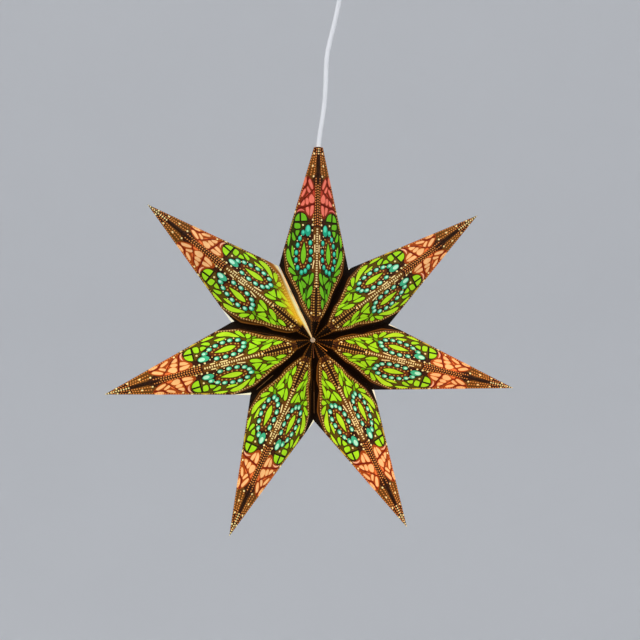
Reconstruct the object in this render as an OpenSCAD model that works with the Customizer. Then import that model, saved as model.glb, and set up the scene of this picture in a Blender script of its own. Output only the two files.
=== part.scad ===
// Folded paper star lantern with seven arms, hung on its cord from a ceiling rose.
// The front of the star faces -Y and +Z is up.
// The origin is the middle of the rose's top face, where it meets the ceiling.

/* [Star] */
// Distance from the middle of the star to the point of an arm
arm_reach = 300; // [270:5:360]
// Distance from the middle of the star to the notch between two arms
notch_radius = 115; // [108:1:125]
// Distance from the middle of the star to the crown, the inner end of an arm's ridge
crown_radius = 27; // [25:1:30]
// Depth of the crowns, in front of the middle plane and behind it
crown_depth = 80; // [76:1:90]
// Thickness of the paper
paper_t = 0.5; // [0.3:0.1:0.7]
// How unevenly the arms are spread: 0 is a regular star, 1 is as it hangs
unevenness = 1; // [0:0.1:1]

/* [Valleys between the arms] */
// Depth of the glued seams where they come together round the middle
web_depth = 42; // [41:1:46]
// Width of the glued strips
strip_w = 12; // [9:0.5:12.5]
// Distance from the middle of the star at which a petal's edge leaves the side crease
shoulder_radius = 135; // [130:1:145]
// Gap between a petal's edge and the seam, at the notch
notch_gap = 8; // [6:0.5:9]
// Gap between a petal's edge and the seam, at its inner end
inner_gap = 4.3; // [3.5:0.1:5]

/* [Lamp] */
// Diameter of the bulb's globe
bulb_d = 45; // [40:1:46]
// Diameter of the cord
cord_d = 6.5; // [5:0.1:6.6]
// Length cut off the point of the top arm, where the cord comes out
point_cut = 25; // [23:1:30]

/* [Ceiling rose] */
// Outer diameter of the rose
rose_d = 100; // [90:1:110]
// Height of the rose
rose_h = 42; // [38:1:44]

/* [Hidden] */
$fn = 48;

// How far a cutting shape runs past the face that it cuts
past = 1;

// Spread of the arms: arm 0 points up, and seam i lies on the clockwise side of arm i
arm_count = 7;
top_arm = 0;
last_arm = arm_count - 1;
sector = 360 / arm_count;
seam_shift = [-2.5, -1.5, 0.5, 2.5, 3.5, 0, -2.5];

// The inner ends of the seams, and of the necks that run from the crowns to the middle
web_radius = 25;
centre_radius = 3.3;
centre_depth = web_depth - 4;
neck_half = 6;
neck_end = [centre_radius, 0.9, centre_depth + 1.5];
neck_rise = 1;

// Space that the glue takes between the strips of two arms
glue_t = 0.02;

// The last seam isn't glued: its flap stands up, and pads hold it to the top arm
pad_t = 1;
pad_r = 5;
pad_radii = [44, 72];
flap_depths = [[centre_radius, web_depth + 6], [web_radius, web_depth + 18], [notch_radius, 0]];
flap_gaps = [[web_radius, 9.5], [notch_radius, 5]];

// Stations along a valley, from the notch to the middle
seam_depths = [[centre_radius, centre_depth], [web_radius, web_depth], [notch_radius, 0]];
petal_gaps = [[web_radius, inner_gap], [notch_radius, notch_gap]];
first_step = 0.1 * notch_radius;
window_radius = notch_radius - strip_w * (notch_radius - web_radius) / web_depth;
window_steps = 4;
stations = concat(
    [notch_radius, notch_radius - first_step],
    [for (k = [0:window_steps]) window_radius + (web_radius - window_radius) * k / window_steps],
    [centre_radius]
);
last_station = len(stations) - 1;
crown_station = last_station - 1;

// The open point of the top arm, as a distance along the arm and as the place it hangs in
mouth_u = arm_reach - point_cut;
mouth_place = [-33, 0, -285];

// Places along the lamp's axis, from the middle of the star towards the point of the top arm
skirt_start_u = 30;
globe_end_u = 29;
cap_start_u = 33;
cap_end_u = 52;
contact_u = 56;
skirt_end_u = 64;
core_top_u = 66;
cap_shoulder_u = 76;
cap_top_u = 90;
stopper_u = mouth_u - 37;

// Sizes that two or more parts of the lamp share
globe_r = bulb_d / 2;
holder_r = 14;
sleeve_bore_r = 7;
sleeve_wall = 0.6;
wire_screw_r = 1.5;
wire_screw_l = 6;
wire_screw_place = 7;
collar_r = 8;
collar_h = 10;
cone_h = 14;
grip_screw_r = 1.5;
clamp_r = 5;
fit_gap = 0.3;
plug_gap = 0.1;
thread_gap = 0.05;
holder_wall = 2;
cord_bore_r = cord_d / 2 + 0.1;

// Shape of the ceiling rose
rose_r = rose_d / 2;
rose_wall = 2;
gland_stem_r = 6;
ear_h = 14;
ear_w = 14;
strap_t = 1.5;
strap_reach = sqrt(pow(rose_r - rose_wall - fit_gap, 2) - pow(ear_w / 2, 2));
side_screw_z = -8;
side_screw_r = 1.5;
ceiling_hole_spacing = 60;
ceiling_hole_r = 2.25;
block_size = [30, 16, 14];
wire_places = [-9, 9];

// The cord's centreline from the mouth of the top arm to the terminal block, as [x, z]
cord_step = 14;
cord_route = [
    [-33, -285], [-31.7, -272], [-29.6, -258], [-27.1, -243], [-24.9, -228], [-23.5, -214],
    [-22.7, -200], [-22.2, -186], [-21.7, -172], [-21, -159], [-19.4, -147], [-16.4, -134],
    [-12.6, -119], [-8.9, -104], [-5.8, -90], [-3.3, -77], [-1.4, -66], [0, -56], [0, -46],
    [0, -34], [0, -24], [0, -15.5],
];
cord_sides = 8;

// Colours of the finished lantern
print_colour = [0.45, 0.6, 0.12];
flap_colour = [0.55, 0.6, 0.14];
white_plastic = [0.92, 0.92, 0.9];
black_plastic = [0.1, 0.1, 0.1];
brass_colour = [0.78, 0.62, 0.3];
steel_colour = [0.7, 0.71, 0.73];
glass_colour = [1, 0.93, 0.75];

// Angle from +X towards +Z of the seam on the clockwise side of arm i
function seam_angle(i) =
    90 - sector * (i + 1/2) + unevenness * seam_shift[(i + arm_count) % arm_count];

// Angle of arm i, halfway between its two seams
function arm_angle(i) = (seam_angle(i - 1) + seam_angle(i)) / 2;

// Half the angle that arm i takes up
function half_angle(i) = (seam_angle(i - 1) - seam_angle(i)) / 2;

// The top arm's direction, and the middle of the star, which hangs below its mouth
lamp_axis = [cos(arm_angle(top_arm)), 0, sin(arm_angle(top_arm))];
star_centre = mouth_place - mouth_u * lamp_axis;

// In an arm's own space, u runs out along the arm, v across it and w to the front.
// The side is 1 for the edge with v above 0, and -1 for the other edge.

// A point beside the seam's plane, at a radius along it and a distance from it
function beside_seam(h, side, radius, distance) =
    radius * [cos(h), side * sin(h)] + distance * [sin(h), -side * cos(h)];

// Slopes of the flat petal, which joins the arm's point, the crown and the notch
petal_fall = crown_depth / (arm_reach - crown_radius);
function petal_tilt(h) =
    petal_fall * (arm_reach - notch_radius * cos(h)) / (notch_radius * sin(h));

// Depth of the petal's plane
function petal_depth(h, uv) =
    petal_fall * (arm_reach - uv[0]) - petal_tilt(h) * abs(uv[1]);

// The point where the petal's edge leaves the crease from the arm's point to the notch
function shoulder(h, side) =
    let (
        notch = notch_radius * [cos(h), sin(h)],
        run = [arm_reach, 0] - notch,
        along = notch * run,
        length2 = run * run,
        excess = pow(notch_radius, 2) - pow(shoulder_radius, 2),
        share = (sqrt(pow(along, 2) - length2 * excess) - along) / length2,
        uv = notch + share * run
    )
    [uv[0], side * uv[1], 0];

// A point of the petal's edge at a station along the valley
function edge_point(h, side, gaps, radius) =
    let (uv = beside_seam(h, side, radius, lookup(radius, gaps)))
    [uv[0], uv[1], petal_depth(h, uv)];

// The petal's edge from the shoulder to the crown, and the neck's edge to the middle
function petal_edge(h, side, gaps) = concat(
    [shoulder(h, side)],
    [for (k = [1:crown_station - 1]) edge_point(h, side, gaps, stations[k])],
    [[crown_radius, side * neck_half, petal_depth(h, [crown_radius, neck_half])]],
    [[neck_end[0], side * neck_end[1], neck_end[2]]]
);

// A line beside the seam's plane, whose depth is looked up and lowered by a drop
function seam_line(h, side, distance, depths, drop) = [
    for (radius = stations)
        let (uv = beside_seam(h, side, radius, distance))
        [uv[0], uv[1], max(0, lookup(radius, depths) - drop)]
];

// Two triangles in place of a face with four corners
function split(q) = [[q[0], q[1], q[2]], [q[0], q[2], q[3]]];

// The faces of a quarter of an arm's sheet: petal, neck, flank and glued strip
function quarter(h, side, mouth, unglued, flap) =
    let (
        edge = petal_edge(h, side, flap ? flap_gaps : petal_gaps),
        distance = unglued ? pad_t : glue_t / 2,
        seam = seam_line(h, side, distance, flap ? flap_depths : seam_depths, 0),
        strip = seam_line(h, side, distance, seam_depths, strip_w),
        crown = [crown_radius, 0, crown_depth],
        neck_ridge = [neck_end[0], 0, neck_end[2] + neck_rise],
        ridge_end = mouth ? [mouth_u, 0, petal_fall * point_cut] : [arm_reach, 0, 0],
        side_end = mouth ? [mouth_u, side * petal_fall * point_cut / petal_tilt(h), 0] : ridge_end
    )
    concat(
        mouth ? [[ridge_end, side_end, edge[0]]] : [],
        [for (k = [0:crown_station - 1]) [ridge_end, edge[k], edge[k + 1]]],
        [[ridge_end, edge[crown_station], crown]],
        split([crown, edge[crown_station], edge[last_station], neck_ridge]),
        [for (k = [0:last_station - 1]) each split([edge[k], seam[k], seam[k + 1], edge[k + 1]])],
        [[seam[0], strip[1], seam[1]]],
        [for (k = [1:last_station - 1]) each split([seam[k], strip[k], strip[k + 1], seam[k + 1]])]
    );

// The same faces turned over
function turned(faces) = [for (f = faces) [f[2], f[1], f[0]]];

// The same faces in the back half of the star
function behind(faces) = turned([for (f = faces) [for (p = f) [p[0], p[1], -p[2]]]]);

// All the faces of an arm's sheet, front and back
function arm_faces(i) =
    let (
        h = half_angle(i),
        mouth = i == top_arm,
        left = quarter(h, 1, mouth, i == top_arm, false),
        right = turned(quarter(h, -1, mouth, i == last_arm, i == last_arm)),
        front = concat(left, right)
    )
    concat(front, behind(front));

// The points of a list, each one once
function same(p, q) = norm(p - q) < 0.001;
function place_of(p, points) = [for (k = [0:len(points) - 1]) if (same(p, points[k])) k][0];
function distinct(points) = [
    for (k = [0:len(points) - 1]) if (place_of(points[k], points) == k) points[k]
];

// Unit normal of a triangle
function normal(f) = let (n = cross(f[1] - f[0], f[2] - f[0])) n / norm(n);

// Sum of a list of vectors
function sum(vectors) = [for (v = vectors) 1] * vectors;

// The move that puts a point one unit behind every one of the planes with these normals.
// It is a least squares answer, steadied where the planes leave a direction free.
function inward(normals) =
    let (
        steady = 0.01,
        row0 = sum([for (n = normals) n[0] * n]) + [steady, 0, 0],
        row1 = sum([for (n = normals) n[1] * n]) + [0, steady, 0],
        row2 = sum([for (n = normals) n[2] * n]) + [0, 0, steady],
        goal = -sum(normals),
        volume = row0 * cross(row1, row2)
    )
    (goal[0] * cross(row1, row2) + goal[1] * cross(row2, row0) + goal[2] * cross(row0, row1))
        / volume;

// A folded sheet of paper: its outer skin is given, and its inner skin lies behind it
module sheet(faces, thickness) {
    outer = distinct([for (f = faces) each f]);
    count = len(outer);
    ids = [for (f = faces) [for (p = f) place_of(p, outer)]];
    normals = [for (f = faces) normal(f)];
    inner = [
        for (k = [0:count - 1])
            outer[k] + thickness * inward([
                for (j = [0:len(ids) - 1])
                    if (ids[j][0] == k || ids[j][1] == k || ids[j][2] == k) normals[j]
            ])
    ];
    edges = [for (f = ids) each [[f[0], f[1]], [f[1], f[2]], [f[2], f[0]]]];
    codes = [for (e = edges) e[0] * count + e[1]];
    rims = [for (e = edges) if (len(search(e[1] * count + e[0], codes)) == 0) e];
    polyhedron(
        points = concat(outer, inner),
        faces = concat(
            [for (f = ids) [f[2], f[1], f[0]]],
            [for (f = ids) [f[0] + count, f[1] + count, f[2] + count]],
            [for (e = rims) each split([e[0], e[1], e[1] + count, e[0] + count])]
        ),
        convexity = 10
    );
}

// Puts a shape from the flat space of the star, with its front up, in the hanging star
module in_star(angle) {
    translate(star_centre) rotate([90, 0, 0]) rotate([0, 0, angle]) children();
}

// Stands a shape on the lamp's axis, at a height measured from the middle of the star
module on_lamp_axis(height = 0) {
    in_star(arm_angle(top_arm)) rotate([0, 90, 0]) translate([0, 0, height]) children();
}

module arm(i, colour) {
    color(colour) in_star(arm_angle(i)) sheet(arm_faces(i), paper_t);
}

// Round pads along the open seam, front and back, on one side of its plane
module closure_pads(start) {
    for (radius = pad_radii, face = [-1, 1])
        in_star(seam_angle(last_arm))
            translate([radius, start, face * (lookup(radius, seam_depths) - strip_w / 2)])
                rotate([-90, 0, 0]) cylinder(r = pad_r, h = pad_t);
}

module closure_hooks() {
    color(black_plastic) closure_pads(0);
}

module closure_loops() {
    color(white_plastic) closure_pads(-pad_t);
}

// Radius of a round shape that stays a gap away from the paper inside the top arm's point
function arm_room(u, gap) =
    let (tilt = petal_tilt(half_angle(top_arm)))
    (petal_fall * (arm_reach - u) - (paper_t + gap) * norm([1, tilt, petal_fall])) / norm([1, tilt]);

// Plug with a conical top that fills the point of the top arm and carries the star
module cord_stopper() {
    cone_u = stopper_u + collar_h;
    color(white_plastic) on_lamp_axis(stopper_u) difference() {
        union() {
            cylinder(r = collar_r, h = collar_h);
            translate([0, 0, collar_h])
                cylinder(
                    r1 = arm_room(cone_u, plug_gap),
                    r2 = arm_room(cone_u + cone_h, plug_gap),
                    h = cone_h
                );
        }
        translate([0, 0, -past]) cylinder(r = cord_bore_r, h = collar_h + cone_h + 2 * past);
        translate([0, 0, collar_h / 2]) rotate([90, 0, 0])
            cylinder(r = grip_screw_r, h = collar_r + past);
    }
}

// Screw that grips the cord in its stopper
module stopper_screw() {
    head_r = 2.8;
    head_h = 1.8;
    slot_w = 0.7;
    color(steel_colour) on_lamp_axis(stopper_u + collar_h / 2) rotate([90, 0, 0]) difference() {
        union() {
            translate([0, 0, cord_d / 2]) cylinder(r = grip_screw_r, h = collar_r - cord_d / 2);
            translate([0, 0, collar_r]) cylinder(r = head_r, h = head_h);
        }
        translate([-head_r, -slot_w / 2, collar_r + head_h / 2])
            cube([2 * head_r, slot_w, head_h]);
    }
}

// Golf ball bulb with its small screw cap, sealed, as one solid
module bulb() {
    neck_r = 8.5;
    neck_angle = 60;
    cap_r = sleeve_bore_r - thread_gap;
    cap_edge = 1;
    tip_r = 2.6;
    tip_h = 1.5;
    color(glass_colour) on_lamp_axis() rotate_extrude() polygon(concat(
        [for (a = [-90:6:neck_angle]) globe_r * [cos(a), sin(a)]],
        [
            [neck_r, globe_end_u], [neck_r, cap_start_u - cap_edge], [cap_r, cap_start_u],
            [cap_r, cap_end_u - cap_edge], [cap_r - cap_edge, cap_end_u],
            [tip_r, contact_u - tip_h], [tip_r, contact_u], [0, contact_u],
        ]
    ));
}

// Where the brass sleeve and the core round it start and end
sleeve_start_u = cap_start_u + 2;
sleeve_end_u = cap_end_u + 2;

// Brass sleeve that the bulb's cap screws into
module thread_sleeve() {
    length = sleeve_end_u - sleeve_start_u;
    color(brass_colour) on_lamp_axis(sleeve_start_u) difference() {
        cylinder(r = sleeve_bore_r + sleeve_wall, h = length);
        translate([0, 0, -past]) cylinder(r = sleeve_bore_r, h = length + 2 * past);
    }
}

// Spring contact that meets the tip of the bulb's cap
contact_stem_r = 1.4;
module centre_contact() {
    disc_r = 3.2;
    disc_h = 0.8;
    color(brass_colour) on_lamp_axis(contact_u) {
        cylinder(r = disc_r, h = disc_h);
        cylinder(r = contact_stem_r, h = core_top_u - contact_u);
    }
}

// Insulating core that carries the sleeve, the contact and the screws
module holder_core() {
    core_r = 11;
    flange_r = holder_r - holder_wall - thread_gap;
    well_r = 4.5;
    well_end_u = contact_u + 5;
    color(black_plastic) on_lamp_axis() difference() {
        union() {
            translate([0, 0, sleeve_start_u]) cylinder(r = core_r, h = skirt_end_u - sleeve_start_u);
            translate([0, 0, skirt_end_u]) cylinder(r = flange_r, h = core_top_u - skirt_end_u);
        }
        translate([0, 0, sleeve_start_u - past])
            cylinder(r = sleeve_bore_r + sleeve_wall, h = sleeve_end_u - sleeve_start_u + past);
        translate([0, 0, sleeve_end_u - past]) cylinder(r = well_r, h = well_end_u - sleeve_end_u + past);
        translate([0, 0, well_end_u - past])
            cylinder(r = contact_stem_r, h = core_top_u - well_end_u + 2 * past);
        for (side = [-1, 1])
            translate([side * wire_screw_place, 0, core_top_u - wire_screw_l])
                cylinder(r = wire_screw_r, h = wire_screw_l + past);
    }
}

// The two screws that hold the wires
module core_screws() {
    head_r = 2.6;
    head_h = 1.6;
    color(brass_colour)
        for (side = [-1, 1]) on_lamp_axis(core_top_u - wire_screw_l)
            translate([side * wire_screw_place, 0, 0]) {
                cylinder(r = wire_screw_r, h = wire_screw_l);
                translate([0, 0, wire_screw_l]) cylinder(r = head_r, h = head_h);
            }
}

// Outer skirt of the lamp holder
module holder_skirt() {
    rim_r = holder_r + 1;
    rim_h = 3;
    bevel = 2;
    inner_r = 11.2;
    color(black_plastic) on_lamp_axis() rotate_extrude() polygon([
        [inner_r, skirt_start_u], [rim_r, skirt_start_u], [rim_r, skirt_start_u + rim_h],
        [holder_r, skirt_start_u + rim_h + bevel], [holder_r, skirt_end_u], [inner_r, skirt_end_u],
    ]);
}

// Domed cap of the lamp holder, with a boss that lets the cord in
module holder_cap() {
    boss_r = clamp_r + holder_wall;
    dome = 4;
    edge = 1;
    color(black_plastic) on_lamp_axis() rotate_extrude() polygon([
        [holder_r, skirt_end_u], [holder_r, cap_shoulder_u - dome],
        [holder_r - holder_wall, cap_shoulder_u], [boss_r, cap_shoulder_u + dome],
        [boss_r, cap_top_u - edge], [boss_r - edge, cap_top_u], [clamp_r, cap_top_u],
        [clamp_r, cap_shoulder_u + holder_wall],
        [holder_r - 2 * holder_wall, cap_shoulder_u - dome + edge],
        [holder_r - holder_wall, cap_shoulder_u - dome - holder_wall],
        [holder_r - holder_wall, skirt_end_u],
    ]);
}

// Split collar that grips the cord in the boss of the cap
module cap_clamp() {
    length = 10;
    slit = 0.8;
    color(white_plastic) on_lamp_axis(cap_top_u - length) difference() {
        cylinder(r = clamp_r, h = length);
        translate([0, 0, -past]) cylinder(r = cord_bore_r, h = length + 2 * past);
        translate([0, -slit / 2, -past]) cube([clamp_r + past, slit, length + 2 * past]);
    }
}

// The whole centreline of the cord: straight up through the top arm, and then along its route
function up_the_arm(u) = let (p = star_centre + u * lamp_axis) [p[0], p[2]];
inner_route = [for (u = [core_top_u:cord_step:mouth_u - cord_step / 2]) up_the_arm(u)];
cord_line = concat(inner_route, cord_route);

// Direction of the cord at each point of its centreline
function cord_heading(k) =
    k < len(inner_route) ? [lamp_axis[0], lamp_axis[2]]
    : let (run = cord_line[min(k + 1, len(cord_line) - 1)] - cord_line[k - 1]) run / norm(run);

// Ring of points round the cord
function cord_ring(k) =
    let (place = cord_line[k], heading = cord_heading(k))
    [
        for (j = [0:cord_sides - 1])
            let (
                turn = 360 * j / cord_sides,
                across = cord_d / 2 * sin(turn),
                deep = cord_d / 2 * cos(turn)
            )
            [place[0] + across * heading[1], deep, place[1] - across * heading[0]]
    ];

module cord() {
    rings = len(cord_line);
    last_ring = (rings - 1) * cord_sides;
    color(white_plastic) polyhedron(
        points = [for (k = [0:rings - 1]) each cord_ring(k)],
        faces = concat(
            [[for (j = [0:cord_sides - 1]) j]],
            [[for (j = [0:cord_sides - 1]) last_ring + cord_sides - 1 - j]],
            [
                for (k = [0:rings - 2], j = [0:cord_sides - 1])
                    let (a = k * cord_sides + j, b = k * cord_sides + (j + 1) % cord_sides)
                    each split([a, a + cord_sides, b + cord_sides, b])
            ]
        ),
        convexity = 10
    );
}

// Half the outline of the rose's cup, from its flat bottom up to the ceiling
module cup_outline(top_r, bottom_r, round_h, bottom_z) {
    polygon(concat(
        [[0, 0], [0, bottom_z]],
        [
            for (a = [0:15:90])
                [bottom_r + (top_r - bottom_r) * sin(a), bottom_z + round_h * (1 - cos(a))]
        ],
        [[top_r, 0]]
    ));
}

// Cup of the rose: a shallow bowl, open towards the ceiling
module rose_cup() {
    bottom_r = rose_r - 16;
    round_h = 12;
    color(white_plastic) difference() {
        rotate_extrude($fn = 96) difference() {
            cup_outline(rose_r, bottom_r, round_h, -rose_h);
            translate([0, past])
                cup_outline(rose_r - rose_wall, bottom_r, round_h, -rose_h + rose_wall - past);
        }
        translate([0, 0, -rose_h - past]) cylinder(r = gland_stem_r, h = rose_wall + 2 * past);
        for (turn = [0, 180])
            rotate([0, 0, turn]) translate([rose_r - rose_wall - past, 0, side_screw_z])
                rotate([0, 90, 0]) cylinder(r = side_screw_r, h = rose_wall + 2 * past);
    }
}

// Gland that grips the cord under the rose
module rose_gland() {
    flange_r = 10;
    flange_h = 3;
    bevel = 1;
    taper_h = 12;
    mouth_r = 6;
    stem_h = 9;
    color(white_plastic) rotate_extrude() polygon([
        [cord_bore_r, -rose_h - taper_h], [mouth_r, -rose_h - taper_h],
        [flange_r - bevel, -rose_h - flange_h], [flange_r, -rose_h - flange_h + bevel],
        [flange_r, -rose_h], [gland_stem_r, -rose_h], [gland_stem_r, -rose_h + stem_h],
        [cord_bore_r, -rose_h + stem_h],
    ]);
}

// Hexagon nut on the stem of the gland, inside the cup
module gland_nut() {
    across_corners = 20;
    nut_h = 4;
    color(white_plastic) translate([0, 0, -rose_h + rose_wall]) difference() {
        cylinder(d = across_corners, h = nut_h, $fn = 6);
        translate([0, 0, -past]) cylinder(r = gland_stem_r, h = nut_h + 2 * past);
    }
}

// Steel strap that is screwed to the ceiling and carries the cup by its bent ends
module rose_bracket() {
    color(steel_colour) difference() {
        union() {
            translate([-strap_reach, -ear_w / 2, -strap_t])
                cube([2 * strap_reach, ear_w, strap_t]);
            for (side = [-1, 1])
                translate([side * (strap_reach - strap_t / 2) - strap_t / 2, -ear_w / 2, -ear_h])
                    cube([strap_t, ear_w, ear_h]);
        }
        for (side = [-1, 1]) {
            translate([side * ceiling_hole_spacing / 2, 0, -strap_t - past])
                cylinder(r = ceiling_hole_r, h = strap_t + 2 * past);
            translate([side * (strap_reach - strap_t / 2), 0, side_screw_z]) rotate([0, 90, 0])
                cylinder(r = side_screw_r, h = strap_t + 2 * past, center = true);
        }
    }
}

// Screws through the wall of the cup into the bent ends of the strap
module cup_screws() {
    head_r = 3;
    head_h = 1.6;
    shank_start = strap_reach - strap_t;
    shank_l = rose_r - shank_start;
    color(steel_colour) for (turn = [0, 180])
        rotate([0, 0, turn]) translate([shank_start, 0, side_screw_z]) rotate([0, 90, 0]) {
            cylinder(r = side_screw_r, h = shank_l);
            translate([0, 0, shank_l]) cylinder(r = head_r, h = head_h);
        }
}

// Where the screws of the terminal block sit, and their size
block_z = -strap_t - block_size[2];
block_screw_r = 1.5;
block_screw_l = 5;
block_screw_z = block_z + block_size[2] / 2;

// Terminal block under the strap, with a bore for each wire and a screw across each bore
module terminal_block() {
    wire_r = 1.6;
    color(white_plastic) difference() {
        translate([-block_size[0] / 2, -block_size[1] / 2, block_z]) cube(block_size);
        for (x = wire_places) translate([x, 0, 0]) {
            translate([0, 0, block_z - past]) cylinder(r = wire_r, h = block_size[2] - strap_t);
            translate([0, -block_size[1] / 2, block_screw_z]) rotate([-90, 0, 0])
                cylinder(r = block_screw_r, h = block_size[1] / 2);
        }
    }
}

module terminal_screws() {
    color(brass_colour) for (x = wire_places)
        translate([x, -block_size[1] / 2, block_screw_z])
            rotate([-90, 0, 0]) cylinder(r = block_screw_r, h = block_screw_l);
}

arm(top_arm, print_colour);  // arm_top
arm(1, print_colour);  // arm_upper_right
arm(2, print_colour);  // arm_right
arm(3, print_colour);  // arm_lower_right
arm(4, print_colour);  // arm_lower_left
arm(5, print_colour);  // arm_left
arm(last_arm, flap_colour);  // arm_upper_left
closure_hooks();
closure_loops();
cord_stopper();
stopper_screw();
bulb();
thread_sleeve();
centre_contact();
holder_core();
core_screws();
holder_skirt();
holder_cap();
cap_clamp();
cord();
rose_cup();
rose_gland();
gland_nut();
rose_bracket();
cup_screws();
terminal_block();
terminal_screws();
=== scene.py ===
"""Folded paper star lantern: the print on its arms, the paper, the cord, the fittings and the studio."""
import math

import bpy
import numpy as np
from mathutils import Matrix, Vector
from mathutils.geometry import delaunay_2d_cdt


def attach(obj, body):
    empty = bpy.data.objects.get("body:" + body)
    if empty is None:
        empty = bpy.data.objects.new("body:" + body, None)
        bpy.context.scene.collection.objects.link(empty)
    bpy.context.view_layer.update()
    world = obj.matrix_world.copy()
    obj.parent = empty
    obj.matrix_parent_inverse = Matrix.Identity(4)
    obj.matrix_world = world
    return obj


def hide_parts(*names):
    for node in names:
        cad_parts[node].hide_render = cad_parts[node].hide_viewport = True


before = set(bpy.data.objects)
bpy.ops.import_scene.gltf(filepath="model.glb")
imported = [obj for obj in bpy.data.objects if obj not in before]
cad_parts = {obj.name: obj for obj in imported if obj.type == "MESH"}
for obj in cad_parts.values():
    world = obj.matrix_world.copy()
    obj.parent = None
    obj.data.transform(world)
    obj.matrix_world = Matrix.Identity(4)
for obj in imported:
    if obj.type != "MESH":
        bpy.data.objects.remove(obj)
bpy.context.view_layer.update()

MM = 0.001

# The star's own sizes, in millimetres, as in the part's source
ARM_REACH = 300
NOTCH_RADIUS = 115
CROWN_RADIUS = 27
CROWN_DEPTH = 80
SHOULDER_RADIUS = 135
POINT_CUT = 25
STRIP_W = 12
WEB_RADIUS = 25
WEB_DEPTH = 42
CENTRE_RADIUS = 3.3
CENTRE_DEPTH = 38
NECK_HALF = 6
NECK_END = (CENTRE_RADIUS, 0.9, CENTRE_DEPTH + 1.5)
NECK_RISE = 1
GLUE_T = 0.02
PAD_T = 1
SECOND_RADIUS = 0.9 * NOTCH_RADIUS
WINDOW_STEPS = 4
SEAM_DEPTHS = [(CENTRE_RADIUS, CENTRE_DEPTH), (WEB_RADIUS, WEB_DEPTH), (NOTCH_RADIUS, 0)]
FLAP_DEPTHS = [(CENTRE_RADIUS, WEB_DEPTH + 6), (WEB_RADIUS, WEB_DEPTH + 18), (NOTCH_RADIUS, 0)]
PETAL_GAPS = [(WEB_RADIUS, 4.3), (NOTCH_RADIUS, 8)]
FLAP_GAPS = [(WEB_RADIUS, 9.5), (NOTCH_RADIUS, 5)]

ARM_NAMES = ["top", "upper_right", "right", "lower_right", "lower_left", "left", "upper_left"]
ARM_COUNT = len(ARM_NAMES)
TOP_ARM = 0
FLAP_ARM = ARM_COUNT - 1
SEAM_SHIFT = [-2.5, -1.5, 0.5, 2.5, 3.5, 0, -2.5]
MOUTH_U = ARM_REACH - POINT_CUT
MOUTH_PLACE = Vector((-33, 0, -285))

# The cord: its first stretch runs up the top arm, and then it follows its route, as (x, z)
CORD_D = 6.5
CORD_START_U = 66
CORD_STEP = 14
CORD_ROUTE = [
    (-33, -285), (-31.7, -272), (-29.6, -258), (-27.1, -243), (-24.9, -228), (-23.5, -214),
    (-22.7, -200), (-22.2, -186), (-21.7, -172), (-21, -159), (-19.4, -147), (-16.4, -134),
    (-12.6, -119), (-8.9, -104), (-5.8, -90), (-3.3, -77), (-1.4, -66), (0, -56), (0, -46),
    (0, -34), (0, -24), (0, -15.5),
]

# Where the photograph was taken from, and where it shows the middle of the star
PICTURE_SIDE = 640
CAMERA_DISTANCE = 2.2
FOCAL_PIXELS = 1548
CAMERA_AZIMUTH = -4.52
CAMERA_ELEVATION = -0.27
CAMERA_ROLL = -0.14
STAR_PIXEL = (310.5, 340.2)


def seam_angle(i):
    """Angle of the seam on the clockwise side of arm i, in radians."""
    return math.radians(90 - 360 / ARM_COUNT * (i + 0.5) + SEAM_SHIFT[i % ARM_COUNT])


def arm_angle(i):
    return (seam_angle(i - 1) + seam_angle(i)) / 2


def half_angle(i):
    return (seam_angle(i - 1) - seam_angle(i)) / 2


LAMP_AXIS = Vector((math.cos(arm_angle(TOP_ARM)), 0, math.sin(arm_angle(TOP_ARM))))
STAR_CENTRE = MOUTH_PLACE - MOUTH_U * LAMP_AXIS
PETAL_FALL = CROWN_DEPTH / (ARM_REACH - CROWN_RADIUS)
EVEN_HALF_ANGLE = math.pi / ARM_COUNT


def is_flap(i, side):
    """Whether this side of arm i is the raised flap beside the unglued seam."""
    return i == FLAP_ARM and side < 0


def lookup(x, table):
    """Value at x on the line through a table of points."""
    return np.interp(x, [p[0] for p in table], [p[1] for p in table])


def fade(x, zero, one):
    """How far x has come from one value to another, from 0 to 1."""
    return np.clip((x - zero) / (one - zero), 0, 1)


def between(first, last, share):
    return first * (1 - share) + last * share


def petal_tilt(h):
    return PETAL_FALL * (ARM_REACH - NOTCH_RADIUS * math.cos(h)) / (NOTCH_RADIUS * math.sin(h))


def petal_depth(h, u, v):
    return PETAL_FALL * (ARM_REACH - u) - petal_tilt(h) * np.abs(v)


def beside_seam(h, radius, distance):
    """The (u, v) beside the seam's plane, at a radius along it and a distance from it."""
    return np.stack([
        radius * math.cos(h) + distance * math.sin(h),
        radius * math.sin(h) - distance * math.cos(h),
    ], -1)


def shoulder(h):
    """Where the petal's edge leaves the crease from the arm's point to the notch."""
    notch = NOTCH_RADIUS * np.array([math.cos(h), math.sin(h)])
    run = np.array([ARM_REACH, 0]) - notch
    along, length2 = notch @ run, run @ run
    excess = NOTCH_RADIUS**2 - SHOULDER_RADIUS**2
    return notch + (math.sqrt(along**2 - length2 * excess) - along) / length2 * run


def stations():
    """Radii along a valley, from the notch to the middle."""
    window = NOTCH_RADIUS - STRIP_W * (NOTCH_RADIUS - WEB_RADIUS) / WEB_DEPTH
    steps = [window + (WEB_RADIUS - window) * k / WINDOW_STEPS for k in range(WINDOW_STEPS + 1)]
    return [NOTCH_RADIUS, SECOND_RADIUS, *steps, CENTRE_RADIUS]


def petal_edge(h, gaps):
    """The petal's edge from the shoulder to the crown's side, as (u, v)."""
    inner = [beside_seam(h, r, lookup(r, gaps)) for r in stations()[1:-2]]
    return np.array([shoulder(h), *inner, (CROWN_RADIUS, NECK_HALF)])


def edge_width(h, gaps, u):
    """Half the petal's width at u, from the arm's point to the crown."""
    return lookup(u, [(ARM_REACH, 0), *petal_edge(h, gaps)][::-1])


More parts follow.
